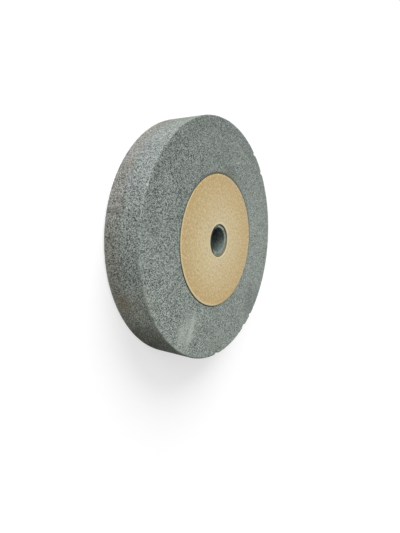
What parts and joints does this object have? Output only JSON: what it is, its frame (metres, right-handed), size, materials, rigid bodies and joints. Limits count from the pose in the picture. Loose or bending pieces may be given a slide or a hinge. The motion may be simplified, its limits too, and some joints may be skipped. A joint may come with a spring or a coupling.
{
  "type": "bench grinding wheel",
  "caption": "Straight flat-sided abrasive wheel with a bushed bore and a round paper blotter glued to each face.",
  "frame": {"origin": "on the axis of the bore, at the outer face of the back blotter, which the wheel lies on", "axes": "+Z along the axis of the bore, out of the front face; X and Y across the wheel"},
  "size_m": [0.25, 0.25, 0.0416],
  "materials": {
    "abrasive": "coarse grained, matt",
    "bush": "matt, scuffed",
    "kraft_paper": "matt kraft paper"
  },
  "bodies": {
    "root": {"abrasive_wheel": "abrasive", "arbor_bush": "bush", "front_blotter": "kraft_paper", "back_blotter": "kraft_paper"}
  },
  "joints": []
}
